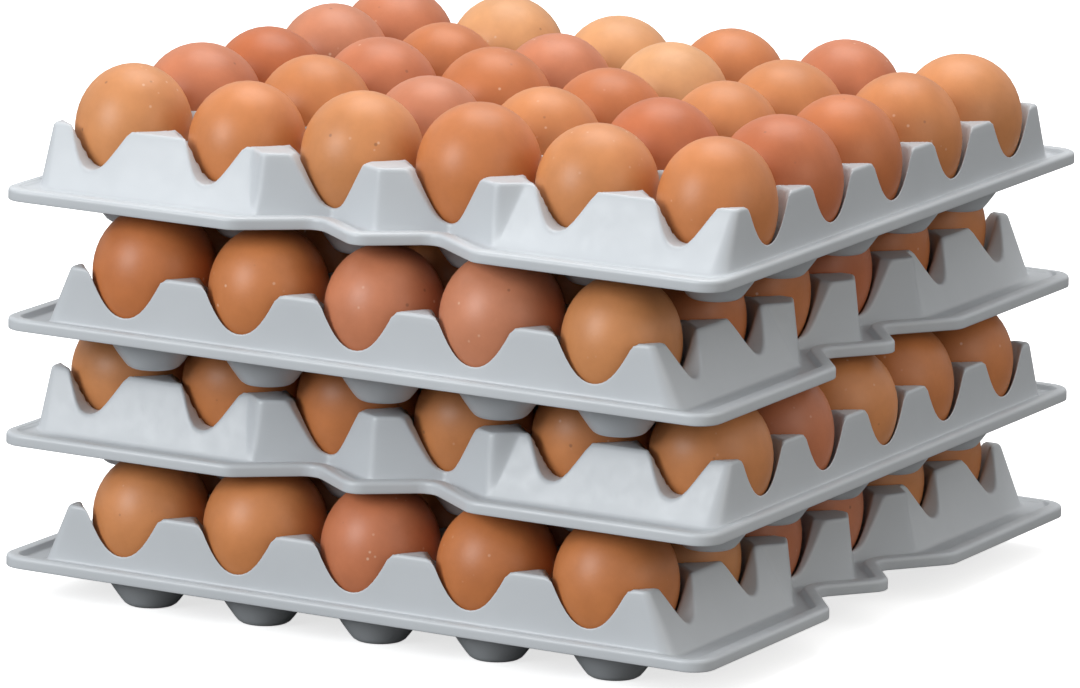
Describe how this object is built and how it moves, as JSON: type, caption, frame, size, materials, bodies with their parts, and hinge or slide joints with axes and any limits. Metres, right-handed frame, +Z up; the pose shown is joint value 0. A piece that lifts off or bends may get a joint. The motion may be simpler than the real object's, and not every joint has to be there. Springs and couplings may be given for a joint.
{
  "type": "stack of egg trays",
  "caption": "Stack of square plastic egg trays with scalloped walls, hollow posts and finger notches, each turned a quarter turn and filled with brown eggs.",
  "frame": {"origin": "centre of the stack's footprint, on the surface that the lowest tray's cup floors stand on", "axes": "+Z up through the stack; +X along the six-cup rows of the top tray; +Y along its five-cup columns, away from the pictured front"},
  "size_m": [0.2964, 0.2964, 0.1972],
  "materials": {
    "tray_plastic": "satin grey moulded plastic",
    "egg_shell": "smooth brown shell with a soft sheen"
  },
  "bodies": {
    "root": {"tray_1": "tray_plastic", "tray_2": "tray_plastic", "tray_3": "tray_plastic", "tray_4": "tray_plastic", "eggs_1_row_1": "egg_shell", "eggs_1_row_2": "egg_shell", "eggs_1_row_3": "egg_shell", "eggs_1_row_4": "egg_shell", "eggs_1_row_5": "egg_shell", "eggs_2_row_1": "egg_shell", "eggs_2_row_2": "egg_shell", "eggs_2_row_3": "egg_shell", "eggs_2_row_4": "egg_shell", "eggs_2_row_5": "egg_shell", "eggs_3_row_1": "egg_shell", "eggs_3_row_2": "egg_shell", "eggs_3_row_3": "egg_shell", "eggs_3_row_4": "egg_shell", "eggs_3_row_5": "egg_shell", "eggs_4_row_1": "egg_shell", "eggs_4_row_2": "egg_shell", "eggs_4_row_3": "egg_shell", "eggs_4_row_4": "egg_shell", "eggs_4_row_5": "egg_shell"}
  },
  "joints": []
}
